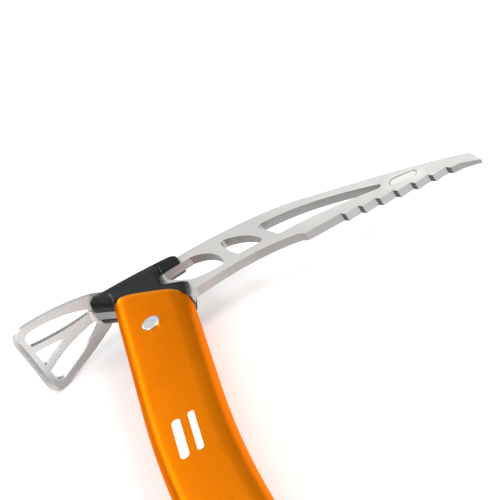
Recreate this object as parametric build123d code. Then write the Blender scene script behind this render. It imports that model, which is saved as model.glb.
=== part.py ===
from build123d import *
import os

# A compact ice axe lying on its left side, in millimetres.
# The straight lower part of the shaft runs along +Y, the pick points to +X, and
# the pick plate lies in the plane Z = 0.  The origin is the centre of the lanyard
# hole.  The head is drawn in its own axes: u square to the top of the shaft and
# towards the pick, v up along it, with u = v = 0 on the shaft's axis by the rivet.

# ---- driving dimensions -------------------------------------------------------------
# shaft: a flattened tube with a straight lower part, one bend and a curved mouth
SHAFT_WIDTH = 31.0
SHAFT_DEPTH = 16.0
SHAFT_WALL = 1.5
SHAFT_CROWN = 0.6
SHAFT_CORNER = 6.6
TOE_BELOW_HOLE = 36.0
TOE_ANGLE = 40.0
LOWER_LENGTH = 219.5
BEND_RADIUS = 549.0
BEND_ANGLE = 15.0
UPPER_LENGTH = 41.5
MOUTH_ARC = ((-18.0, 28.6), (-11.5, 29.6), (-5.0, 26.9))
MOUTH_FRONT = (18.0, 11.1)

# head plate
PLATE = 3.8
PICK_THINNING = ((100.0, PLATE / 2), (131.0, 1.5), (141.0, 0.8))
TANG_HALF_WIDTH = 12.5
TANG_DEPTH = 30.0
TAIL_U = -24.8
TAIL_LOW = 38.9
SLOT_CORNER = 1.3
HOLE_CORNER = 1.5
STAMP_PLACE = (110.3, 8.3)
STAMP_TURN = -13.8
STAMP_SIZE = (12.0, 5.0)
STAMP_DEPTH = 0.35

# teeth along the pick
TOOTH_COUNT = 7
TOOTH_PITCH = Vector(7.25, -1.52)
FIRST_ROOT = Vector(82.8, 8.9)
ROOT_TO_CREST = Vector(1.6, -1.9)
LAST_ROOT = Vector(132.2, -2.9)

# adze and its weld
ADZE_SHEET = 2.0
UNDER_SHEET = ADZE_SHEET + 0.04
ADZE_EDGE_U = -56.7
ADZE_HALF_WIDTH = 18.3
ADZE_TOP_ARC = ((ADZE_EDGE_U, 32.9), (-37.7, 39.4), (-8.0, 45.2))
ADZE_SCOOP_AXIS = -100.0
ADZE_SCOOP_TURN = 24.0
ADZE_CORNER = 5.6
OPENING_EDGE_U = -52.0
OPENING_CORNER = 1.1
OPENING_OUTER_CORNER = 2.8
BEVEL_LENGTH = 2.6
BEVEL_LAND = 0.4
NECK_END_U = -6.0
NECK_HALF_WIDTH = 1.9
WELD_LENGTH = 2.7
WELD_HALF_WIDTH = 3.0

# moulded head covers
COVER_LEFT_U = -24.2
COVER_LEFT_DEPTH = 8.2
COVER_RIGHT_U = 18.4
COVER_RIGHT_DEPTH = 6.2
COVER_END_ROUND = 3.2
COVER_SHEET_GAP = 0.2
ARM_SLOPE = 12.8
ARM_CREASE = (-6.6, 37.0, 7.3)
ARM_UNDERSIDE = 37.3
NOTCH_CORNER = (7.3, 29.6)
LIP_TIP = (17.3, 23.2)
BLOCK_ROUND = 5.5
LIP_ROUND = 2.4
COVER_EDGE_ROUND = 1.2
INSERT_BOTTOM = -27.0
FIT_GAP = 0.1

# rivet, lanyard eyelet and end plug
RIVET_PLACE = (-0.6, 1.0)
RIVET_SHANK = 3.0
RIVET_HEAD = 3.85
RIVET_HEAD_HEIGHT = 1.0
RIVET_EDGE_ROUND = 0.6
EYELET_BORE = 4.0
EYELET_WALL = 0.8
EYELET_FLANGE = 6.2
EYELET_FLANGE_HEIGHT = 0.7
PLUG_TOP = 14.0
PLUG_CAP = 1.6

OVERRUN = 40.0
THROUGH = 80.0

straight_top = Vector(0, LOWER_LENGTH - TOE_BELOW_HOLE)
bend = CenterArc(straight_top + Vector(BEND_RADIUS, 0), BEND_RADIUS, 180, -BEND_ANGLE)
upper_end = bend @ 1 + (bend % 1) * UPPER_LENGTH
head_place = Location(upper_end, (0, 0, -BEND_ANGLE))
adze_arc = ThreePointArc(*ADZE_TOP_ARC)


# ---- shared shapes -------------------------------------------------------------------
def polyline(*points):
    """Straight edges through the points, in order."""
    return [Line(a, b) for a, b in zip(points, points[1:])]


def slab(outline, low, high):
    """Closed edges in u and v, thickened from low to high across the plate."""
    return extrude(Pos(0, 0, low) * make_face(Wire(outline)), high - low)


def upright(face):
    """A face drawn in u and depth, extended both ways along v."""
    ground = Plane(origin=(0, 0, 0), x_dir=(1, 0, 0), z_dir=(0, -1, 0))
    return extrude(ground * face, THROUGH, both=True)


def oval(inset):
    """The shaft's section, drawn flat: crowned faces and round edges."""
    half_width = SHAFT_WIDTH / 2 - inset
    half_depth = SHAFT_DEPTH / 2 - inset
    shoulder = half_depth - SHAFT_CROWN
    outline = [
        ThreePointArc((-half_width, -shoulder), (0, -half_depth), (half_width, -shoulder)),
        Line((half_width, -shoulder), (half_width, shoulder)),
        ThreePointArc((half_width, shoulder), (0, half_depth), (-half_width, shoulder)),
        Line((-half_width, shoulder), (-half_width, -shoulder)),
    ]
    face = make_face(Wire(outline))
    return fillet(face.vertices(), SHAFT_CORNER - inset)


def shaft_body(inset):
    """The solid inside the shaft's outer surface moved inwards, long at both ends."""
    start = Vector(0, -TOE_BELOW_HOLE - OVERRUN)
    finish = upper_end + (bend % 1) * OVERRUN
    path = Wire([Line(start, straight_top), bend, Line(bend @ 1, finish)])
    section = Plane(origin=start, x_dir=(1, 0, 0), z_dir=(0, 1, 0)) * oval(inset)
    return sweep(section, path=path)


def head_oval(inset):
    """The same solid in the head's axes, where the shaft is straight."""
    section = Plane(origin=(0, -OVERRUN), x_dir=(1, 0, 0), z_dir=(0, 1, 0)) * oval(inset)
    return extrude(section, 2 * OVERRUN)


def above_mouth():
    """Everything above the curved mouth of the shaft, in the head's axes."""
    back = MOUTH_ARC[0]
    front = MOUTH_FRONT
    outline = [ThreePointArc(*MOUTH_ARC)]
    outline += polyline(MOUTH_ARC[-1], front, (THROUGH, front[1]), (THROUGH, THROUGH))
    outline += polyline((THROUGH, THROUGH), (-THROUGH, THROUGH), (-THROUGH, back[1]), back)
    return slab(outline, -THROUGH, THROUGH)


def below_toe(gap):
    """Everything below the slanted lower end of the shaft, moved down by gap."""
    block = Box(4 * THROUGH, THROUGH, THROUGH, align=(Align.CENTER, Align.MAX, Align.CENTER))
    return Location((-SHAFT_WIDTH / 2, -TOE_BELOW_HOLE), (0, 0, TOE_ANGLE)) * Pos(0, -gap, 0) * block


def rivet_bore(radius):
    """A cylinder across the shaft on the rivet's axis."""
    return Pos(*RIVET_PLACE) * Cylinder(radius, THROUGH)


def rounded_cut(outline, radius):
    """A hole through the plate with every corner of its outline rounded."""
    face = make_face(Wire(outline))
    return extrude(fillet(face.vertices(), radius), THROUGH, both=True)


# ---- shaft ------------------------------------------------------------------------------
def make_shaft():
    tube = shaft_body(0) - shaft_body(SHAFT_WALL)
    tube -= head_place * above_mouth()
    tube -= head_place * rivet_bore(RIVET_SHANK)
    tube -= Cylinder(EYELET_BORE + EYELET_WALL, THROUGH)
    return tube - below_toe(0)


# ---- head plate ---------------------------------------------------------------------------
def sheet_point(u, below_top):
    """The point at u on the adze's curved sheet, a given depth under its top face."""
    centre = adze_arc.arc_center
    radius = adze_arc.radius - below_top
    return (u, centre.Y + (radius**2 - (u - centre.X) ** 2) ** 0.5)


def sheet_arc(start, end, below_top):
    """The arc along the sheet from one u to another at a depth under its top face."""
    return ThreePointArc(*(sheet_point(u, below_top) for u in (start, (start + end) / 2, end)))


def tooth_edges():
    """The lower edge of the pick: one long first tooth, then a row of hooked ones."""
    edges = polyline((64.6, 12.0), (67.0, 9.9), FIRST_ROOT)
    for i in range(TOOTH_COUNT):
        root = FIRST_ROOT + TOOTH_PITCH * i
        following = LAST_ROOT if i == TOOTH_COUNT - 1 else root + TOOTH_PITCH
        edges += polyline(root, root + ROOT_TO_CREST, following)
    return edges


def head_outline():
    """Pick, bridge over the shaft, tail under the adze and tang inside the shaft."""
    tail = sheet_point(TAIL_U, UNDER_SHEET)
    bridge = sheet_point(NECK_END_U, UNDER_SHEET)
    tang = TANG_HALF_WIDTH
    return [
        ThreePointArc((16.0, 13.1), (17.2, 15.0), (20.0, 16.0)),
        Spline((20.0, 16.0), (36.0, 16.9), (50.0, 15.8), (64.6, 12.0)),
        *tooth_edges(),
        *polyline(LAST_ROOT, (139.2, -6.9), (138.6, -4.9), (137.8, -1.3), (136.6, 0.8)),
        Spline((136.6, 0.8), (109.6, 14.8), (82.0, 27.6), (66.6, 34.5), (45.0, 40.4), (20.0, 43.1), bridge),
        sheet_arc(NECK_END_U, TAIL_U, UNDER_SHEET),
        *polyline(tail, (TAIL_U, TAIL_LOW), (-tang, 29.4), (-tang, -TANG_DEPTH), (tang, -TANG_DEPTH)),
        *polyline((tang, -TANG_DEPTH), (tang, 15.6), (16.0, 13.1)),
    ]


def pick_slot():
    """The long slot that narrows towards the point."""
    return [
        Spline((50.0, 32.4), (65.4, 29.6), (82.0, 23.2), (101.1, 12.8)),
        Line((101.1, 12.8), (102.7, 9.6)),
        Spline((102.7, 9.6), (84.3, 14.9), (70.0, 17.9), (57.6, 19.2)),
        Line((57.6, 19.2), (50.0, 32.4)),
    ]


def bow_hole():
    """The middle hole, bowed on its long side."""
    return [
        ThreePointArc((34.0, 36.7), (44.4, 31.1), (51.4, 20.8)),
        Line((51.4, 20.8), (39.9, 21.6)),
        ThreePointArc((39.9, 21.6), (36.2, 28.4), (34.0, 36.7)),
    ]


def clip_hole():
    """The large hole beside the shaft."""
    return [
        Line((7.2, 37.2), (20.6, 37.7)),
        ThreePointArc((20.6, 37.7), (28.4, 33.2), (33.3, 21.2)),
        ThreePointArc((33.3, 21.2), (25.6, 21.4), (17.8, 23.8)),
        *polyline((17.8, 23.8), (7.2, 33.6), (7.2, 37.2)),
    ]


def pick_taper():
    """The plate's thickness seen from above: full, then thinning to the point."""
    upper = [(-THROUGH, PLATE / 2), *PICK_THINNING]
    lower = [(u, -depth) for u, depth in reversed(upper)]
    return upright(make_face(Wire(polyline(*upper, *lower, upper[0]))))


def make_head_plate():
    plate = slab(head_outline(), -PLATE / 2, PLATE / 2) & pick_taper()
    plate -= rounded_cut(pick_slot(), SLOT_CORNER)
    plate -= rounded_cut(clip_hole(), HOLE_CORNER)
    plate -= rounded_cut(bow_hole(), HOLE_CORNER)
    plate -= rivet_bore(RIVET_SHANK)
    oval_mark = SlotOverall(*STAMP_SIZE)
    for surface in (PLATE / 2, -PLATE / 2):
        place = Location((*STAMP_PLACE, surface), (0, 0, STAMP_TURN))
        plate -= extrude(place * oval_mark, STAMP_DEPTH, both=True)
    return head_place * plate


# ---- adze -----------------------------------------------------------------------------------
def fan():
    """The adze seen from above: a straight cutting edge and sides that narrow."""
    edge = (ADZE_EDGE_U, ADZE_HALF_WIDTH)
    shoulder = (-22.6, 8.9)
    neck_start = (-12.4, NECK_HALF_WIDTH + 0.3)
    neck = (NECK_END_U, NECK_HALF_WIDTH)
    side = [ThreePointArc(edge, (-40.0, 14.8), shoulder), *polyline(shoulder, neck_start, neck)]
    across = [Line((u, -half), (u, half)) for u, half in (edge, neck)]
    outline = make_face(Wire(side + across + [s.mirror(Plane.XZ) for s in side]))
    return fillet(outline.vertices().group_by(Axis.X)[0], ADZE_CORNER)


def side_opening():
    """The long curved opening on one side of the adze."""
    opening = make_face(Wire([
        ThreePointArc((-23.6, 2.4), (-40.0, 3.8), (OPENING_EDGE_U, 7.4)),
        Line((OPENING_EDGE_U, 7.4), (OPENING_EDGE_U, 13.9)),
        ThreePointArc((OPENING_EDGE_U, 13.9), (-38.5, 10.6), (-23.6, 2.4)),
    ]))
    opening = fillet(opening.vertices().sort_by(Axis.Y)[-1], OPENING_OUTER_CORNER)
    return fillet(opening.vertices().sort_by(Axis.Y)[:2], OPENING_CORNER)


def centre_opening():
    """The small triangular opening behind the cutting edge."""
    corners = [(-38.6, 0), (OPENING_EDGE_U - 0.3, 4.2), (OPENING_EDGE_U - 0.3, -4.2), (-38.6, 0)]
    opening = make_face(Wire(polyline(*corners)))
    return fillet(opening.vertices(), OPENING_CORNER)


def scooped(outline):
    """A face drawn in u and v, turned about a distant axis along u: the adze's hollow."""
    axis = Axis((0, ADZE_SCOOP_AXIS, 0), (1, 0, 0))
    start = Rot(-ADZE_SCOOP_TURN / 2, 0, 0)
    centred = Pos(0, ADZE_SCOOP_AXIS, 0) * start * Pos(0, -ADZE_SCOOP_AXIS, 0)
    return revolve(centred * make_face(Wire(outline)), axis, ADZE_SCOOP_TURN)


def make_adze():
    beyond = ADZE_EDGE_U - 1
    sheet = scooped([
        sheet_arc(beyond, NECK_END_U, 0),
        Line(sheet_point(NECK_END_U, 0), sheet_point(NECK_END_U, ADZE_SHEET)),
        sheet_arc(NECK_END_U, beyond, ADZE_SHEET),
        Line(sheet_point(beyond, ADZE_SHEET), sheet_point(beyond, 0)),
    ])
    blade = sheet & upright(fan())
    opening = side_opening()
    for cut in (opening, opening.mirror(Plane.XZ), centre_opening()):
        blade -= upright(cut)
    bevel_start = sheet_point(ADZE_EDGE_U + BEVEL_LENGTH, ADZE_SHEET)
    below = (ADZE_EDGE_U, bevel_start[1] - 2 * ADZE_SHEET)
    bevel = polyline(bevel_start, sheet_point(beyond, BEVEL_LAND), below, bevel_start)
    return head_place * (blade - scooped(bevel))


def make_weld():
    """The bead of weld under the adze, across the end of the plate's tail."""
    end = sheet_point(TAIL_U - WELD_LENGTH, UNDER_SHEET)
    corner = (TAIL_U, TAIL_LOW)
    side_view = [
        sheet_arc(end[0], TAIL_U, UNDER_SHEET),
        Line(sheet_point(TAIL_U, UNDER_SHEET), corner),
        ThreePointArc(corner, (TAIL_U - 0.6 * WELD_LENGTH, TAIL_LOW + 0.1), end),
    ]
    plan = Pos(TAIL_U, 0) * Ellipse(WELD_LENGTH, WELD_HALF_WIDTH)
    return head_place * (slab(side_view, -WELD_HALF_WIDTH, WELD_HALF_WIDTH) & upright(plan))


# ---- moulded covers ---------------------------------------------------------------------
def cover_outline():
    """One cover's outer part: block under the adze, flank, arm and front lip."""
    under_sheet = ADZE_SHEET + COVER_SHEET_GAP
    top = sheet_point(-10.0, under_sheet)
    return [
        sheet_arc(COVER_LEFT_U, -10.0, under_sheet),
        Spline(top, (3.0, 43.5), (12.6, 43.3)),
        ThreePointArc((12.6, 43.3), (15.6, 41.4), (16.4, 37.6)),
        *polyline((16.4, 37.6), LIP_TIP, (15.2, 12.0), (15.2, 5.0), (-14.0, 5.0)),
        *polyline((-14.0, 5.0), (-14.0, 30.5), (COVER_LEFT_U, TAIL_LOW)),
        Line((COVER_LEFT_U, TAIL_LOW), sheet_point(COVER_LEFT_U, under_sheet)),
    ]


def under_cover_face(end_round):
    """Everything under the covers' outer face, its end at the adze rounded if asked."""
    left = (COVER_LEFT_U, COVER_LEFT_DEPTH)
    right = (COVER_RIGHT_U, COVER_RIGHT_DEPTH)
    outline = polyline(left, right, (COVER_RIGHT_U, 0), (COVER_LEFT_U, 0), left)
    face = make_face(Wire(outline))
    if end_round:
        face = fillet(face.vertices().sort_by_distance(Vector(*left))[0], end_round)
    return upright(face)


def rounded_block():
    """The covers' rough block above the mouth, with a round belly and a round lip."""
    left = (COVER_LEFT_U, THROUGH)
    outline = polyline(left, (COVER_LEFT_U, TAIL_LOW), (-14.0, 30.5), (-14.0, 5.0), (15.2, 5.0))
    outline += polyline((15.2, 5.0), (15.2, 12.0), LIP_TIP, (COVER_RIGHT_U, THROUGH), left)
    block = slab(outline, PLATE / 2, COVER_LEFT_DEPTH + 1) & under_cover_face(0)
    block = (block & above_mouth()).solid()
    block = fillet(edges_near(block, (-19.3, 34.7, 8.0)), BLOCK_ROUND).solid()
    lip = edges_near(block, (16.3, 17.0, 6.3), (17.7, 33.0, 6.2))
    return fillet(lip, LIP_ROUND).solid()


def half_space(plane):
    """Everything on the side of a plane that its z axis points to."""
    block = Box(2 * THROUGH, 2 * THROUGH, THROUGH, align=(Align.CENTER, Align.CENTER, Align.MIN))
    return plane * block


def arm_space():
    """The space over the arm, whose face slopes towards the plate from a crease."""
    crease = Location(Plane(origin=ARM_CREASE, x_dir=(0.934, -0.357, 0), z_dir=(0, 0, 1)))
    return half_space(Plane(crease * Rot(-ARM_SLOPE, 0, 0)))


def clip_notch():
    """The flared notch between the arm and the lip, beside the plate's large hole."""
    along_lip = Vector(*LIP_TIP) - Vector(*NOTCH_CORNER)
    away_from_lip = Vector(-along_lip.Y, along_lip.X).normalized()
    wall = Plane(origin=(*NOTCH_CORNER, 0), z_dir=(1, 0, 0))
    underside = Plane(origin=(0, ARM_UNDERSIDE, PLATE / 2), z_dir=(0, -1, 1))
    lip_top = Plane(origin=(*LIP_TIP, PLATE / 2), z_dir=away_from_lip + Vector(0, 0, 1))
    return half_space(wall) & half_space(underside) & half_space(lip_top)


def edges_near(solid, *places):
    """The edge of a solid that passes closest to each place."""
    return [min(solid.edges(), key=lambda edge: edge.distance_to(Vector(*place))) for place in places]


def cover_outside():
    """The part of a cover outside the shaft, its top edges rounded."""
    outside = rounded_block() & under_cover_face(COVER_END_ROUND)
    outside &= slab(cover_outline(), PLATE / 2, COVER_LEFT_DEPTH + 1)
    outside = (outside - arm_space()).solid()
    top = edges_near(outside, (1.3, 43.5, 5.3), (15.7, 41.2, 4.6), (16.5, 36.1, 5.6))
    return fillet(top, COVER_EDGE_ROUND).solid() - clip_notch()


def make_cover():
    insert = head_oval(SHAFT_WALL + FIT_GAP) - above_mouth()
    room = Box(THROUGH, THROUGH, THROUGH, align=(Align.CENTER, Align.MIN, Align.MIN))
    insert = insert & (Pos(0, INSERT_BOTTOM, PLATE / 2) * room)
    cover = cover_outside() + insert
    return cover - rivet_bore(RIVET_SHANK)


# ---- fasteners and end plug ------------------------------------------------------------
def make_rivet():
    """A shank across the shaft with a low domed head on each side."""
    half = SHAFT_DEPTH / 2 + RIVET_HEAD_HEIGHT
    shank = Cylinder(RIVET_SHANK, SHAFT_DEPTH)
    head = Pos(0, 0, SHAFT_DEPTH / 2) * Cylinder(
        RIVET_HEAD, RIVET_HEAD_HEIGHT, align=(Align.CENTER, Align.CENTER, Align.MIN)
    )
    head = fillet(head.edges().group_by(Axis.Z)[-1], RIVET_EDGE_ROUND)
    rivet = shank + head + mirror(head, Plane.XY)
    return head_place * Pos(*RIVET_PLACE) * rivet


def make_eyelet():
    """A tube through the shaft with a thin flange at each end."""
    outer = EYELET_BORE + EYELET_WALL
    tube = Cylinder(outer, SHAFT_DEPTH)
    flange = Pos(0, 0, SHAFT_DEPTH / 2) * Cylinder(
        EYELET_FLANGE, EYELET_FLANGE_HEIGHT, align=(Align.CENTER, Align.CENTER, Align.MIN)
    )
    flange = fillet(flange.edges().group_by(Axis.Z)[-1], EYELET_FLANGE_HEIGHT / 2)
    return tube + flange + mirror(flange, Plane.XY) - Cylinder(EYELET_BORE, THROUGH)


def make_end_plug():
    """A plug in the lower end of the shaft, with a cap over the slanted rim."""
    body = shaft_body(SHAFT_WALL + FIT_GAP) - below_toe(0)
    below_top = Box(THROUGH, THROUGH, THROUGH, align=(Align.CENTER, Align.MAX, Align.CENTER))
    body = body & (Pos(0, PLUG_TOP, 0) * below_top)
    cap = (shaft_body(FIT_GAP) & below_toe(0)) - below_toe(PLUG_CAP)
    return body + cap - Cylinder(EYELET_BORE + EYELET_WALL, THROUGH)


# ---- every piece to its own file --------------------------------------------------------
right_cover = make_cover()

pieces = {
    "shaft_tube": make_shaft(),
    "head_plate": make_head_plate(),
    "adze_blade": make_adze(),
    "adze_weld": make_weld(),
    "right_head_cover": head_place * right_cover,
    "left_head_cover": head_place * mirror(right_cover, Plane.XY),
    "head_rivet": make_rivet(),
    "lanyard_eyelet": make_eyelet(),
    "shaft_end_plug": make_end_plug(),
}

os.makedirs("parts", exist_ok=True)
for name, piece in pieces.items():
    export_step(piece, f"parts/{name}.step")
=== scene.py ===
import math

import bmesh
import bpy
from mathutils import Euler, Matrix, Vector


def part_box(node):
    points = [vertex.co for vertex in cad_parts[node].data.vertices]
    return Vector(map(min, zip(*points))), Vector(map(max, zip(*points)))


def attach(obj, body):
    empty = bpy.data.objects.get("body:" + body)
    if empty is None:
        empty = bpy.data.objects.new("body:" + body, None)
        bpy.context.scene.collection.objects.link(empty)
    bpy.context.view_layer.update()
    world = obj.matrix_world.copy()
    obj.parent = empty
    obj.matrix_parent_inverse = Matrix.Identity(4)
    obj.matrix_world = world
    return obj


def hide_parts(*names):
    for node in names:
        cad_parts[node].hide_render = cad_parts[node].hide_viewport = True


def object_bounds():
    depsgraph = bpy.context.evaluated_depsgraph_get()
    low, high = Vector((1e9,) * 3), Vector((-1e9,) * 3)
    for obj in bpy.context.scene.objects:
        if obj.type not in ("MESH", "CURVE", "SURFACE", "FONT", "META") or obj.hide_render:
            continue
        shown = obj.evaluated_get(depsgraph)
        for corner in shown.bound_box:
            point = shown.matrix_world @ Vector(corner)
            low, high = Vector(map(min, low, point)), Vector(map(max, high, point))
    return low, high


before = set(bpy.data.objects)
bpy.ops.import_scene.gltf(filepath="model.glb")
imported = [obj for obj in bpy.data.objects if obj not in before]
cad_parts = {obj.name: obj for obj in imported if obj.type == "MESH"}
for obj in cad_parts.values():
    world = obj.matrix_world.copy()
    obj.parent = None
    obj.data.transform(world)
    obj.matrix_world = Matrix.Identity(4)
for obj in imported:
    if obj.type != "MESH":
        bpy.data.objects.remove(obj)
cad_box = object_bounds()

# A compact ice axe lying on its left side over a pale studio floor.  Every length is in
# metres, in the frame of the CAD model: the shaft runs along Y, the pick points to X
# and the near face of the axe looks up along Z.

MM = 0.001
BODY = "root"

# ---- camera and floor ---------------------------------------------------------------
CAMERA_PLACE = Vector((-9.9035, -280.507, 420.329)) * MM
CAMERA_TURN = (52.29536, 28.83538, -28.0727)
CAMERA_LENS = 144.0
CAMERA_SENSOR = 36.0
CAMERA_NEAREST = 10.0 * MM
FLOOR_SIZE = 9.0
FLOOR_GAP = 0.2 * MM
FLOOR_GLOW = 0.16
FLOOR_WHITE = (0.93, 0.93, 0.93)
FLOOR_ROUGHNESS = 0.9
FLOOR_GLOSS = 0.1

# ---- studio light: place from the head, size and power of each softbox ----------------
LIGHTS = {
    "key_right": ((0.8, -0.5, 0.8), (0.5, 0.7), 8.5),
    "fill_left": ((-0.8, -0.2, 0.75), (0.5, 0.5), 2.0),
    "strip_left": ((-0.38, 1.0, 0.5), (0.3, 0.4), 1.7),
}
# The room brightens from the horizon up to ROOM_RISE, a direction's upward part.
ROOM_LOW = 0.05
ROOM_HIGH = 0.92
ROOM_RISE = 0.75
# A dark flag behind, at the right, makes the dark band along the shaft's right side.
FLAG_DIRECTION = Vector((0.38, 0.84, 0.36)).normalized()
FLAG_EDGE = math.cos(math.radians(19.0))
FLAG_CORE = math.cos(math.radians(8.0))
FLAG_BRIGHTNESS = 0.1

# ---- shaft, as in the CAD model: straight, one bend, straight again to a curved mouth ----
SHAFT_HALF_WIDTH = 15.5 * MM
SHAFT_HALF_DEPTH = 8.0 * MM
SHAFT_WALL = 1.5 * MM
SHAFT_CROWN = 0.6 * MM
SHAFT_CORNER = 6.6 * MM
TOE_BELOW_HOLE = 36.0 * MM
TOE_SLOPE = math.tan(math.radians(40.0))
BEND_START = 183.5 * MM
BEND_RADIUS = 549.0 * MM
BEND_ANGLE = math.radians(15.0)
UPPER_LENGTH = 41.5 * MM
MOUTH_ARC = ((-18.0, 28.6), (-11.5, 29.6), (-5.0, 26.9))
MOUTH_FRONT = (18.0, 11.1)
LANYARD_HOLE = 4.8 * MM
DRILL_LENGTH = 100.0 * MM
DRILL_SIDES = 64
CORNER_STEPS = 14
FACE_STEPS = 12
LOWER_RINGS = 24
BEND_RINGS = 24
UPPER_RINGS = 12
RIM_ROUND = 0.35 * MM
RIM_STEPS = 3
SHARP_ANGLE = math.radians(28)

# ---- head: its two axes, U towards the pick and V upwards, from the shaft's upper end ----
HEAD_TURN = -BEND_ANGLE
HEAD_PLACE = Vector((29.4477, 365.678, 0.0)) * MM
PRINTED_BARS = ((-2.2, -72.5, 1.9), (4.2, -72.5, 1.4))
PRINTED_HALF_LENGTH = 11.5 * MM
PRINTED_ABOVE = 5.0 * MM
PRINT_THICKNESS = 0.02 * MM
BAR_FADE = 0.12 * MM
STAMP_PLACE = (110.3, 8.3)
STAMP_TURN = math.radians(-13.8)
STAMP_HALF_LENGTH = 6.0 * MM
STAMP_HALF_WIDTH = 2.5 * MM
STAMP_RIM = 0.45 * MM
HOOKS_START = 100.0 * MM
HOOK_SLOPE = math.radians(40.0)

# ---- masks: where each one starts and where it is full -----------------------------------
FROSTED_AND_LIT_PICK = (50.0 * MM, 140.0 * MM)
BEVEL_START = (-53.9 * MM, -54.3 * MM)
SHADED_FAR_SIDE = (2.0 * MM, -14.0 * MM)
CENTRE_BAR = (9.0 * MM, 8.0 * MM)
MOUTH_RIM = (8.0 * MM, 11.0 * MM)
WALL_FACING = (0.75, 0.25)
BACK_SHADE_FACING = (0.58, 0.74)
HOOK_FACING = (0.955, 0.985)
UNDER_FACING = (0.3, 0.1)
INNER_FACING = (0.6, 0.85)
CLOUD_RANGE = (0.3, 0.7)

# ---- grain: how many features each texture has in a metre --------------------------------
STEEL_GRAIN = 1500.0
WELD_GRAIN = 2200.0
ANODISED_GRAIN = 2300.0
PLASTIC_GRAIN = 1900.0
TURNED_RINGS = 6000.0

# ---- covers: their mesh is made even and then smoothed -----------------------------------
MOULDING_MESH = 0.4 * MM
MOULDING_PASSES = 22
MOULDING_STRENGTH = 0.5

# ---- colours: linear red, green and blue ---------------------------------------------
WHITE = (1.0, 1.0, 1.0)
WORN_STEEL = (0.9, 0.89, 0.87)
PLATE_STEEL = (0.73, 0.72, 0.7)
# Painted light: the pick made lighter towards its tip.
PAINTED_TIP_LIGHT = (0.98, 0.97, 0.95)
# Painted shade along the rim of the stamped oval.
STAMP_RIM_SHADE = (0.2, 0.19, 0.18)
# Wall tones: partly the cut edge's own tone, partly painted shade.
WALL_TONE_AND_SHADE = (0.48, 0.49, 0.49)
BACK_WALL_SHADE = (0.36, 0.36, 0.355)
# Painted shade for the steep facets of the teeth's hooks.
HOOK_SHADE = (0.13, 0.122, 0.115)
SHEET_STEEL = (0.79, 0.84, 0.85)
# Painted shade for the walls beside the adze's centre bar.
SHADED_STEEL = (0.2, 0.19, 0.178)
# Painted shade for the adze's far side, underneath.
FAR_SHADE_STEEL = (0.3, 0.295, 0.29)
# Painted shade for the downward faces of the cutting edge's bevel.
GROUND_EDGE_SHADE = (0.27, 0.265, 0.26)
WELD_METAL = (0.62, 0.6, 0.58)
WELD_STRAW = (0.5, 0.42, 0.33)
WELD_BLUE = (0.3, 0.32, 0.4)
ORANGE_DEEP = (0.84, 0.165, 0.002)
ORANGE_PALE = (0.95, 0.275, 0.006)
ORANGE_GRAIN = (0.98, 0.38, 0.01)
ORANGE_LINES = (0.6, 0.11, 0.001)
# Worn rim colour, which is also a painted highlight along the mouth.
ORANGE_RIM_WEAR_AND_HIGHLIGHT = (0.98, 0.45, 0.07)
ORANGE_SHEEN = (1.0, 0.5, 0.13)
PRINT_WHITE = (0.9, 0.89, 0.87)
COVER_BLACK = (0.005, 0.005, 0.0055)
PLUG_BLACK = (0.014, 0.014, 0.015)
SCUFFED_BLACK = (0.12, 0.12, 0.125)
RIVET_METAL = (0.86, 0.87, 0.9)
EYELET_METAL = (0.76, 0.77, 0.78)


def turned_to_head(vector):
    """A vector given in the head's axes, turned into the part's."""
    turned = Vector(vector)
    turned.rotate(Euler((0, 0, HEAD_TURN)))
    return turned


def on_head(u, v):
    """A place given in millimetres along the head's two axes."""
    return HEAD_PLACE + turned_to_head((u, v, 0)) * MM


BACK_FACING = turned_to_head((-math.cos(HOOK_SLOPE), -math.sin(HOOK_SLOPE), 0))
HEAD_UP = turned_to_head((0, 1, 0))


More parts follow.
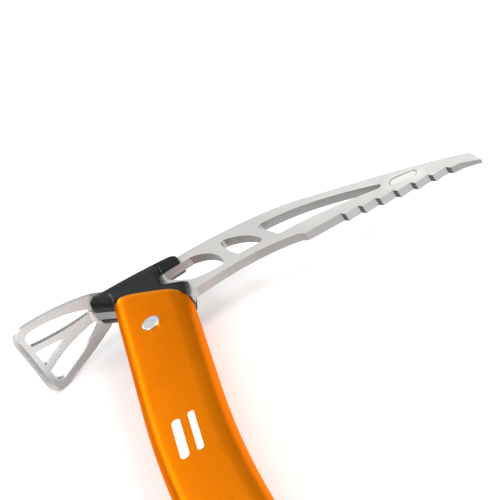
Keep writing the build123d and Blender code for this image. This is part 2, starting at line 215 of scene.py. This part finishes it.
# ---- node helpers -------------------------------------------------------------------
class Shader:
    """A material's node tree, with short calls for the nodes that are used here."""

    def __init__(self, name):
        self.material = bpy.data.materials.new(name)
        self.material.use_nodes = True
        self.tree = self.material.node_tree
        self.surface = self.tree.nodes["Principled BSDF"]
        self.point = self.tree.nodes.new("ShaderNodeTexCoord").outputs["Object"]
        self.geometry = self.tree.nodes.new("ShaderNodeNewGeometry")

    def node(self, kind, inputs=None, **settings):
        """A new node with its settings made and its inputs set or linked."""
        node = self.tree.nodes.new("ShaderNode" + kind)
        for key, value in settings.items():
            setattr(node, key, value)
        for key, value in (inputs or {}).items():
            self.put(node.inputs[key], value)
        return node

    def put(self, socket, value):
        """Link an output to the socket, or set a plain value on it."""
        if isinstance(value, bpy.types.NodeSocket):
            self.tree.links.new(value, socket)
        else:
            socket.default_value = value

    def set(self, **inputs):
        """Set the surface shader's inputs by name, with _ for a space."""
        for key, value in inputs.items():
            self.put(self.surface.inputs[key.replace("_", " ")], value)

    def math(self, operation, *values):
        """A number worked out from one, two or three others."""
        node = self.node("Math", operation=operation)
        for socket, value in zip(node.inputs, values):
            self.put(socket, value)
        return node.outputs[0]

    def part(self, vector, axis):
        """A vector's part along X, Y or Z, numbered 0, 1 and 2."""
        return self.node("SeparateXYZ", {0: vector}).outputs[axis]

    def facing(self, direction):
        """How far the surface faces a direction, from -1 to 1."""
        normal = self.geometry.outputs["True Normal"]
        dot = self.node("VectorMath", {0: normal, 1: direction}, operation="DOT_PRODUCT")
        return dot.outputs["Value"]

    def sideways(self):
        """How far the surface faces the axe's near or far side, from 0 to 1."""
        return self.math("ABSOLUTE", self.part(self.geometry.outputs["True Normal"], 2))

    def length(self, a, b):
        """The length of a vector in a plane, from its two parts."""
        squares = self.math("ADD", self.math("POWER", a, 2.0), self.math("POWER", b, 2.0))
        return self.math("SQRT", squares)

    def place(self, scale=(1, 1, 1), turn=HEAD_TURN, origin=(0, 0, 0)):
        """The point seen from an origin, turned in the plane of the plate and scaled."""
        moved = self.node("VectorMath", {0: self.point, 1: origin}, operation="SUBTRACT")
        turned = self.node("Mapping", {"Vector": moved.outputs[0], "Rotation": (0, 0, -turn)})
        scaled = self.node("VectorMath", {0: turned.outputs[0], 1: scale}, operation="MULTIPLY")
        return scaled.outputs[0]

    def noise(self, scale, detail=3.0, roughness=0.5, vector=None):
        """Fractal noise from 0 to 1, with about this many features in a metre."""
        inputs = {
            "Vector": vector or self.point,
            "Scale": scale,
            "Detail": detail,
            "Roughness": roughness,
        }
        return self.node("TexNoise", inputs).outputs["Fac"]

    def spread(self, value, low, high, to_low=0.0, to_high=1.0, smooth=False):
        """A value's range mapped to another range and clamped there."""
        kind = "SMOOTHSTEP" if smooth else "LINEAR"
        inputs = {0: value, 1: low, 2: high, 3: to_low, 4: to_high}
        return self.node("MapRange", inputs, interpolation_type=kind).outputs[0]

    def mix(self, factor, a, b):
        """Two colours mixed, each a linked colour or a tone."""
        node = self.node("Mix", data_type="RGBA")
        for index, value in ((0, factor), (6, opaque(a)), (7, opaque(b))):
            self.put(node.inputs[index], value)
        return node.outputs[2]

    def edge_wear(self, low=0.52, high=0.6):
        """One along convex edges, broken up so that it isn't an even line."""
        broken = self.spread(self.noise(900.0, detail=4.0), 0.0, 1.0, -0.04, 0.04)
        sharp = self.math("ADD", self.geometry.outputs["Pointiness"], broken)
        return self.spread(sharp, low, high)

    def bump(self, *layers):
        """Heights stacked as bumps: pairs of a height and its distance in metres."""
        normal = None
        for height, distance in layers:
            inputs = {"Height": height, "Distance": distance}
            if normal is not None:
                inputs["Normal"] = normal
            normal = self.node("Bump", inputs).outputs[0]
        self.set(Normal=normal)


def opaque(tone):
    """A tone as a colour socket's value; anything linked is left as it is."""
    return (*tone, 1.0) if isinstance(tone, tuple) else tone


def shade_of(tone, factor):
    """A tone made darker or lighter by a factor."""
    return tuple(factor * part for part in tone)


# ---- materials ----------------------------------------------------------------------
def blasted_steel(name, tone):
    """Blasted steel with grain and clouds, for a plate or a sheet to be finished from."""
    s = Shader(name)
    grain = s.noise(STEEL_GRAIN, detail=4.0, roughness=0.75)
    cloud = s.noise(38.0, detail=4.0, roughness=0.6)
    smear = s.noise(1.0, detail=3.0, roughness=0.6, vector=s.place(scale=(60, 420, 200)))
    wear = s.edge_wear()
    tint = s.mix(s.spread(cloud, *CLOUD_RANGE), shade_of(tone, 0.93), tone)
    tint = s.mix(s.spread(grain, 0.42, 0.62, 0.0, 0.34), tint, shade_of(tone, 0.6))
    rough = s.spread(cloud, *CLOUD_RANGE, 0.38, 0.46)
    rough = s.math("MULTIPLY_ADD", smear, 0.1, rough)
    rough = s.math("MULTIPLY_ADD", wear, -0.12, rough)
    s.set(Metallic=0.9, Roughness=rough)
    s.bump((grain, 0.012 * MM), (s.noise(420.0, detail=3.0), 0.02 * MM))
    return s, tint, wear, rough


def plate_steel():
    """The plate: a rougher pick with painted light making it lighter towards its tip, walls darker
    partly by their own tone and partly by painted shade, and the teeth's hooks darkened by painted
    shade.
    """
    s, tint, wear, rough = blasted_steel("head_steel", PLATE_STEEL)
    reach = s.part(s.point, 0)
    # Towards the tip the pick is rougher, and painted light makes its colour lighter.
    frost_and_light = s.spread(reach, *FROSTED_AND_LIT_PICK)
    tint = s.mix(s.math("MULTIPLY", frost_and_light, 0.9), tint, PAINTED_TIP_LIGHT)
    s.set(Roughness=s.math("MULTIPLY_ADD", frost_and_light, 0.2, rough))
    # Painted shade along the rim of the stamped oval.
    tint = s.mix(s.math("MULTIPLY", stamp_rim(s), 0.55), tint, STAMP_RIM_SHADE)
    backward = s.facing(BACK_FACING)
    past_holes = s.spread(reach, HOOKS_START, HOOKS_START + MM)
    # Painted shade on the steep facets of the teeth's hooks, past the holes.
    hook_shade = s.math("MULTIPLY", s.spread(backward, *HOOK_FACING), past_holes)
    # Walls are darker partly by the cut edge's own tone and partly by painted shade; walls facing
    # back and down, away from the key light, get more painted shade.
    wall_tone_and_shade = s.mix(s.spread(backward, *BACK_SHADE_FACING), WALL_TONE_AND_SHADE, BACK_WALL_SHADE)
    wall_tone_and_shade = s.mix(hook_shade, wall_tone_and_shade, HOOK_SHADE)
    wall = s.spread(s.sideways(), *WALL_FACING, smooth=True)
    tint = s.mix(wall, tint, wall_tone_and_shade)
    worn = s.math("MULTIPLY", wear, s.spread(wall, 0.0, 0.6, 0.6, 0.0))
    s.set(Base_Color=s.mix(worn, tint, WORN_STEEL))
    return s.material


def sheet_steel():
    """The adze, with painted shade: darker under the bevel of its cutting edge and under its far
    side, and on the walls by its bar.
    """
    s, tint, wear, _ = blasted_steel("adze_steel", SHEET_STEEL)
    side = s.part(s.point, 2)
    near_bar = s.spread(s.math("ABSOLUTE", side), *CENTRE_BAR)
    # Painted shade on the walls beside the centre bar.
    bar_wall_shade = s.math("MULTIPLY", s.spread(s.sideways(), *INNER_FACING), near_bar)
    tint = s.mix(bar_wall_shade, tint, SHADED_STEEL)
    # Painted shade goes on faces turned downward, away from the light.
    shade_below = s.spread(s.facing(HEAD_UP), *UNDER_FACING)
    far_shade = s.math("MULTIPLY", s.spread(side, *SHADED_FAR_SIDE, 0.0, 0.75, smooth=True), shade_below)
    tint = s.mix(far_shade, tint, FAR_SHADE_STEEL)
    outward = s.part(s.place(origin=HEAD_PLACE), 0)
    # Painted shade on the downward faces of the cutting edge's bevel.
    ground_edge_shade = s.math("MULTIPLY", s.spread(outward, *BEVEL_START), shade_below)
    tint = s.mix(ground_edge_shade, tint, GROUND_EDGE_SHADE)
    s.set(Base_Color=s.mix(s.math("MULTIPLY", wear, 0.5), tint, WORN_STEEL))
    return s.material


def weld_steel():
    """Weld metal with straw and blue heat tints."""
    s = Shader("weld_bead")
    cloud = s.noise(260.0, detail=4.0, roughness=0.6)
    tint = s.mix(s.spread(cloud, 0.4, 0.7), WELD_METAL, WELD_STRAW)
    tint = s.mix(s.spread(s.noise(420.0), 0.58, 0.72, 0.0, 0.6), tint, WELD_BLUE)
    tint = s.mix(s.math("MULTIPLY", s.edge_wear(), 0.5), tint, WORN_STEEL)
    s.set(Base_Color=tint, Metallic=0.9, Roughness=s.spread(cloud, *CLOUD_RANGE, 0.3, 0.46))
    s.bump((s.noise(WELD_GRAIN, detail=3.0), 0.02 * MM))
    return s.material


def orange_anodised():
    """Satin orange anodising over fine blasting, with a plain white printed mark."""
    s = Shader("shaft_anodised")
    grain = s.noise(ANODISED_GRAIN, detail=2.0, roughness=0.8)
    cloud = s.noise(26.0, detail=4.0, roughness=0.55)
    lines = s.noise(1.0, detail=3.0, roughness=0.65, vector=s.place(scale=(700, 90, 700), turn=0.0))
    tint = s.mix(s.spread(cloud, *CLOUD_RANGE, 0.35, 0.65), ORANGE_DEEP, ORANGE_PALE)
    tint = s.mix(s.spread(grain, 0.35, 0.7, 0.0, 0.35), tint, ORANGE_GRAIN)
    tint = s.mix(s.spread(lines, 0.5, 0.75, 0.0, 0.15), tint, ORANGE_LINES)
    # Worn rim at the mouth, made lighter, which also serves as a painted highlight along the rim.
    at_mouth = s.spread(s.part(s.place(origin=HEAD_PLACE), 1), *MOUTH_RIM, 0.0, 0.8)
    tint = s.mix(s.math("MULTIPLY", s.edge_wear(0.56, 0.66), at_mouth), tint, ORANGE_RIM_WEAR_AND_HIGHLIGHT)
    mark = printed_mark(s)
    s.set(Base_Color=s.mix(mark, tint, PRINT_WHITE))
    s.set(Metallic=s.spread(mark, 0.0, 1.0, 0.96, 0.0))
    s.set(Specular_Tint=opaque(ORANGE_SHEEN))
    s.set(Roughness=s.math("MULTIPLY_ADD", grain, 0.08, s.spread(cloud, *CLOUD_RANGE, 0.36, 0.42)))
    s.bump((grain, 0.014 * MM), (mark, PRINT_THICKNESS))
    return s.material


def inside_bar(s, point, half_width, half_length):
    """One inside a round-ended bar that lies along Y at the point's origin."""
    along = s.math("ABSOLUTE", s.part(point, 1))
    past = s.math("MAXIMUM", s.math("SUBTRACT", along, half_length - half_width), 0.0)
    reach = s.length(s.part(point, 0), past)
    return s.spread(reach, half_width, half_width - BAR_FADE)


def printed_mark(s):
    """One inside two plain white bars printed on the near face of the shaft."""
    near = s.math("GREATER_THAN", s.part(s.point, 2), PRINTED_ABOVE)
    bars = []
    for u, v, half_width in PRINTED_BARS:
        point = s.place(origin=on_head(u, v))
        bars.append(inside_bar(s, point, half_width * MM, PRINTED_HALF_LENGTH))
    return s.math("MULTIPLY", s.math("MAXIMUM", *bars), near)


def stamp_rim(s):
    """One along the rim of the shallow oval stamped in the pick, where painted shade darkens it."""
    turn = HEAD_TURN + STAMP_TURN - math.pi / 2
    point = s.place(turn=turn, origin=on_head(*STAMP_PLACE))
    outer = inside_bar(s, point, STAMP_HALF_WIDTH, STAMP_HALF_LENGTH)
    inner = inside_bar(s, point, STAMP_HALF_WIDTH - STAMP_RIM, STAMP_HALF_LENGTH - STAMP_RIM)
    return s.math("SUBTRACT", outer, inner)


def moulded_plastic(name, tone, grain_depth):
    """Moulded black plastic: fine spark texture, faint flow marks and scuffed edges."""
    s = Shader(name)
    grain = s.node("TexVoronoi", {"Vector": s.point, "Scale": PLASTIC_GRAIN}).outputs["Distance"]
    cloud = s.noise(60.0, detail=4.0, roughness=0.6)
    tint = s.mix(s.spread(cloud, *CLOUD_RANGE), tone, shade_of(tone, 1.5))
    tint = s.mix(s.math("MULTIPLY", s.edge_wear(0.53, 0.64), 0.35), tint, SCUFFED_BLACK)
    s.set(Base_Color=tint, Roughness=s.spread(cloud, *CLOUD_RANGE, 0.3, 0.38))
    s.set(Specular_IOR_Level=0.3)
    s.bump((grain, grain_depth))
    return s.material


def turned_metal(name, tone, centre, rough):
    """Bright metal with fine rings about an axis along Z, and small dents."""
    s = Shader(name)
    local = s.place(turn=0.0, origin=centre)
    radius = s.length(s.part(local, 0), s.part(local, 1))
    outward = s.node("CombineXYZ", {0: s.math("MULTIPLY", radius, TURNED_RINGS)}).outputs[0]
    rings = s.noise(1.0, detail=2.0, roughness=0.6, vector=outward)
    cloud = s.noise(240.0, detail=3.0, roughness=0.6)
    tint = s.mix(s.spread(cloud, *CLOUD_RANGE), shade_of(tone, 0.85), tone)
    s.set(Base_Color=tint, Metallic=0.95, Roughness=s.math("MULTIPLY_ADD", cloud, 0.16, rough))
    s.bump((rings, 0.006 * MM), (s.noise(700.0, detail=2.0), 0.03 * MM))
    return s.material


# ---- shaft mesh ---------------------------------------------------------------------
def oval_section(inset):
    """The shaft's section as points (across, depth): crowned faces and round corners."""
    half_width = SHAFT_HALF_WIDTH - inset
    half_depth = SHAFT_HALF_DEPTH - inset
    corner = SHAFT_CORNER - inset
    crown = (half_width**2 + SHAFT_CROWN**2) / (2 * SHAFT_CROWN)
    corner_x = half_width - corner
    corner_z = half_depth - crown + math.sqrt((crown - corner) ** 2 - corner_x**2)
    face_angle = math.asin(corner_x / (crown - corner))
    quarter = []
    for i in range(FACE_STEPS):
        angle = face_angle * i / FACE_STEPS
        quarter.append((crown * math.sin(angle), half_depth - crown + crown * math.cos(angle)))
    for i in range(CORNER_STEPS + 1):
        angle = face_angle + (math.pi / 2 - face_angle) * i / CORNER_STEPS
        quarter.append((corner_x + corner * math.sin(angle), corner_z + corner * math.cos(angle)))
    right = quarter + [(x, -z) for x, z in reversed(quarter)]
    return right + [(-x, z) for x, z in reversed(right[1:-1])]


def mouth_height(across):
    """How far up the head's axis the shaft's mouth lies at a point across the shaft."""
    u = across / MM
    (u0, v0), (u1, v1), (u2, v2) = MOUTH_ARC
    if u > u2:
        return (v2 + (MOUTH_FRONT[1] - v2) * (u - u2) / (MOUTH_FRONT[0] - u2)) * MM
    v = v0 * (u - u1) * (u - u2) / ((u0 - u1) * (u0 - u2))
    v += v1 * (u - u0) * (u - u2) / ((u1 - u0) * (u1 - u2))
    v += v2 * (u - u0) * (u - u1) / ((u2 - u0) * (u2 - u1))
    return v * MM


def shaft_ring(section, part, t):
    """One ring of points: at a fraction t along the lower part, the bend or the top."""
    ring = []
    for x, z in section:
        if part == "lower":
            toe = -TOE_BELOW_HOLE + (x + SHAFT_HALF_WIDTH) * TOE_SLOPE
            ring.append(Vector((x, toe + (BEND_START - toe) * t, z)))
            continue
        angle = BEND_ANGLE * (t if part == "bend" else 1.0)
        reach = BEND_RADIUS - x
        across = BEND_RADIUS - reach * math.cos(angle)
        point = Vector((across, BEND_START + reach * math.sin(angle), z))
        if part == "top":
            length = UPPER_LENGTH + mouth_height(x)
            point += length * t * Vector((math.sin(angle), math.cos(angle), 0))
        ring.append(point)
    return ring


def make_shaft(material):
    """The tube with its wall, slanted toe and curved mouth, as one smooth closed mesh."""
    stations = [("lower", i / LOWER_RINGS) for i in range(LOWER_RINGS + 1)]
    stations += [("bend", i / BEND_RINGS) for i in range(1, BEND_RINGS + 1)]
    stations += [("top", i / UPPER_RINGS) for i in range(1, UPPER_RINGS + 1)]
    outer = [shaft_ring(oval_section(0), *station) for station in stations]
    inner = [shaft_ring(oval_section(SHAFT_WALL), *station) for station in stations]
    bm = bmesh.new()
    rings = [[bm.verts.new(point) for point in ring] for ring in outer + inner[::-1]]
    for ring, following in zip(rings, rings[1:] + rings[:1]):
        for i in range(len(ring)):
            j = (i + 1) % len(ring)
            bm.faces.new((ring[i], ring[j], following[j], following[i]))
    bmesh.ops.recalc_face_normals(bm, faces=bm.faces)
    shaft = add_mesh("shaft_shell", bm, material)
    drill_lanyard_hole(shaft)
    round_rims(shaft)
    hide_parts("shaft_tube")


def drill_lanyard_hole(shaft):
    """Open the shaft through both faces where the eyelet sits."""
    bm = bmesh.new()
    bmesh.ops.create_cone(
        bm,
        cap_ends=True,
        segments=DRILL_SIDES,
        radius1=LANYARD_HOLE,
        radius2=LANYARD_HOLE,
        depth=DRILL_LENGTH,
    )
    mesh = bpy.data.meshes.new("lanyard_drill")
    bm.to_mesh(mesh)
    bm.free()
    drill = bpy.data.objects.new("lanyard_drill", mesh)
    bpy.context.scene.collection.objects.link(drill)
    cut = shaft.modifiers.new("lanyard_hole", "BOOLEAN")
    cut.object = drill
    cut.operation = "DIFFERENCE"
    bpy.context.view_layer.update()
    graph = bpy.context.evaluated_depsgraph_get()
    cut_mesh = bpy.data.meshes.new_from_object(shaft.evaluated_get(graph))
    shaft.modifiers.remove(cut)
    shaft.data = cut_mesh
    bpy.data.objects.remove(drill)


def round_rims(shaft):
    """Round the sharp rims of the shaft's mouth, toe and lanyard hole."""
    bevel = shaft.modifiers.new("edges", "BEVEL")
    bevel.width = RIM_ROUND
    bevel.segments = RIM_STEPS
    bevel.limit_method = "ANGLE"
    bevel.angle_limit = SHARP_ANGLE
    bevel.harden_normals = True


def add_mesh(name, bm, material):
    """A smooth-shaded object made from a bmesh, riding on the axe's one body."""
    mesh = bpy.data.meshes.new(name)
    bm.to_mesh(mesh)
    bm.free()
    mesh.shade_smooth()
    mesh.set_sharp_from_angle(angle=SHARP_ANGLE)
    mesh.materials.append(material)
    obj = bpy.data.objects.new(name, mesh)
    bpy.context.scene.collection.objects.link(obj)
    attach(obj, BODY)
    return obj


# ---- the CAD nodes ------------------------------------------------------------------
def centre_of(node):
    low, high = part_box(node)
    return (Vector(low) + Vector(high)) / 2


def dress_nodes():
    """A material for each of the CAD nodes, and soft edges for the two covers."""
    covers = moulded_plastic("cover_plastic", COVER_BLACK, 0.012 * MM)
    looks = {
        "head_plate": plate_steel(),
        "adze_blade": sheet_steel(),
        "adze_weld": weld_steel(),
        "right_head_cover": covers,
        "left_head_cover": covers,
        "head_rivet": turned_metal("rivet_metal", RIVET_METAL, centre_of("head_rivet"), 0.16),
        "lanyard_eyelet": turned_metal(
            "eyelet_metal", EYELET_METAL, centre_of("lanyard_eyelet"), 0.2
        ),
        "shaft_end_plug": moulded_plastic("plug_plastic", PLUG_BLACK, 0.03 * MM),
    }
    for name, material in looks.items():
        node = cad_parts[name]
        node.data.materials.clear()
        node.data.materials.append(material)
    for name in ("right_head_cover", "left_head_cover"):
        soften_moulding(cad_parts[name])


def soften_moulding(obj):
    """Round every edge and crease of a moulding softly."""
    fine = obj.modifiers.new("even_mesh", "REMESH")
    fine.mode = "VOXEL"
    fine.voxel_size = MOULDING_MESH
    fine.use_smooth_shade = True
    smooth = obj.modifiers.new("soft_edges", "SMOOTH")
    smooth.factor = MOULDING_STRENGTH
    smooth.iterations = MOULDING_PASSES


# ---- studio -------------------------------------------------------------------------
def make_floor():
    """A plain pale floor that the axe rests on, faintly lit from within."""
    bm = bmesh.new()
    bmesh.ops.create_grid(bm, x_segments=1, y_segments=1, size=FLOOR_SIZE / 2)
    mesh = bpy.data.meshes.new("floor")
    bm.to_mesh(mesh)
    bm.free()
    floor = bpy.data.objects.new("floor", mesh)
    floor.location = (0, 0, cad_box[0][2] - FLOOR_GAP)
    bpy.context.scene.collection.objects.link(floor)
    s = Shader("floor")
    s.set(Base_Color=opaque(FLOOR_WHITE), Roughness=FLOOR_ROUGHNESS)
    s.set(Specular_IOR_Level=FLOOR_GLOSS)
    s.set(Emission_Color=opaque(WHITE), Emission_Strength=FLOOR_GLOW)
    mesh.materials.append(s.material)


def softbox(name, place, target, size, power):
    """A rectangular studio light aimed at a point."""
    light = bpy.data.lights.new(name, "AREA")
    light.shape = "RECTANGLE"
    light.size, light.size_y = size
    light.energy = power
    lamp = bpy.data.objects.new(name, light)
    lamp.location = place
    lamp.rotation_euler = (target - place).to_track_quat("-Z", "Y").to_euler()
    bpy.context.scene.collection.objects.link(lamp)


def smooth_range(tree, value, low, high, to_low, to_high):
    """A value's range mapped softly to another range in a node tree."""
    node = tree.nodes.new("ShaderNodeMapRange")
    node.interpolation_type = "SMOOTHSTEP"
    for index, limit in enumerate((low, high, to_low, to_high), start=1):
        node.inputs[index].default_value = limit
    tree.links.new(value, node.inputs[0])
    return node.outputs[0]


def light_room():
    """A dim white room that brightens overhead, with a dark flag behind at the right."""
    world = bpy.data.worlds.new("studio")
    bpy.context.scene.world = world
    world.use_nodes = True
    tree = world.node_tree
    background = tree.nodes["Background"]
    background.inputs["Color"].default_value = opaque(WHITE)
    direction = tree.nodes.new("ShaderNodeTexCoord").outputs["Generated"]
    split = tree.nodes.new("ShaderNodeSeparateXYZ")
    tree.links.new(direction, split.inputs[0])
    room = smooth_range(tree, split.outputs[2], 0.0, ROOM_RISE, ROOM_LOW, ROOM_HIGH)
    to_flag = tree.nodes.new("ShaderNodeVectorMath")
    to_flag.operation = "DOT_PRODUCT"
    to_flag.inputs[1].default_value = FLAG_DIRECTION
    tree.links.new(direction, to_flag.inputs[0])
    closeness = to_flag.outputs["Value"]
    flag = smooth_range(tree, closeness, FLAG_EDGE, FLAG_CORE, 1.0, FLAG_BRIGHTNESS)
    strength = tree.nodes.new("ShaderNodeMath")
    strength.operation = "MULTIPLY"
    tree.links.new(room, strength.inputs[0])
    tree.links.new(flag, strength.inputs[1])
    tree.links.new(strength.outputs[0], background.inputs["Strength"])


def light_studio():
    """The room and the softboxes, which are aimed at the head."""
    light_room()
    head = centre_of("head_plate")
    for name, (place, size, power) in LIGHTS.items():
        softbox(name, head + Vector(place), head, size, power)


def place_camera():
    """The camera, at the angle that the axe is seen from."""
    camera = bpy.data.cameras.new("camera")
    camera.lens = CAMERA_LENS
    camera.sensor_width = CAMERA_SENSOR
    camera.clip_start = CAMERA_NEAREST
    holder = bpy.data.objects.new("camera", camera)
    holder.location = CAMERA_PLACE
    holder.rotation_euler = Euler([math.radians(angle) for angle in CAMERA_TURN])
    bpy.context.scene.collection.objects.link(holder)
    bpy.context.scene.camera = holder
    bpy.context.scene.view_settings.view_transform = "Standard"


place_camera()
make_floor()
light_studio()
make_shaft(orange_anodised())
dress_nodes()
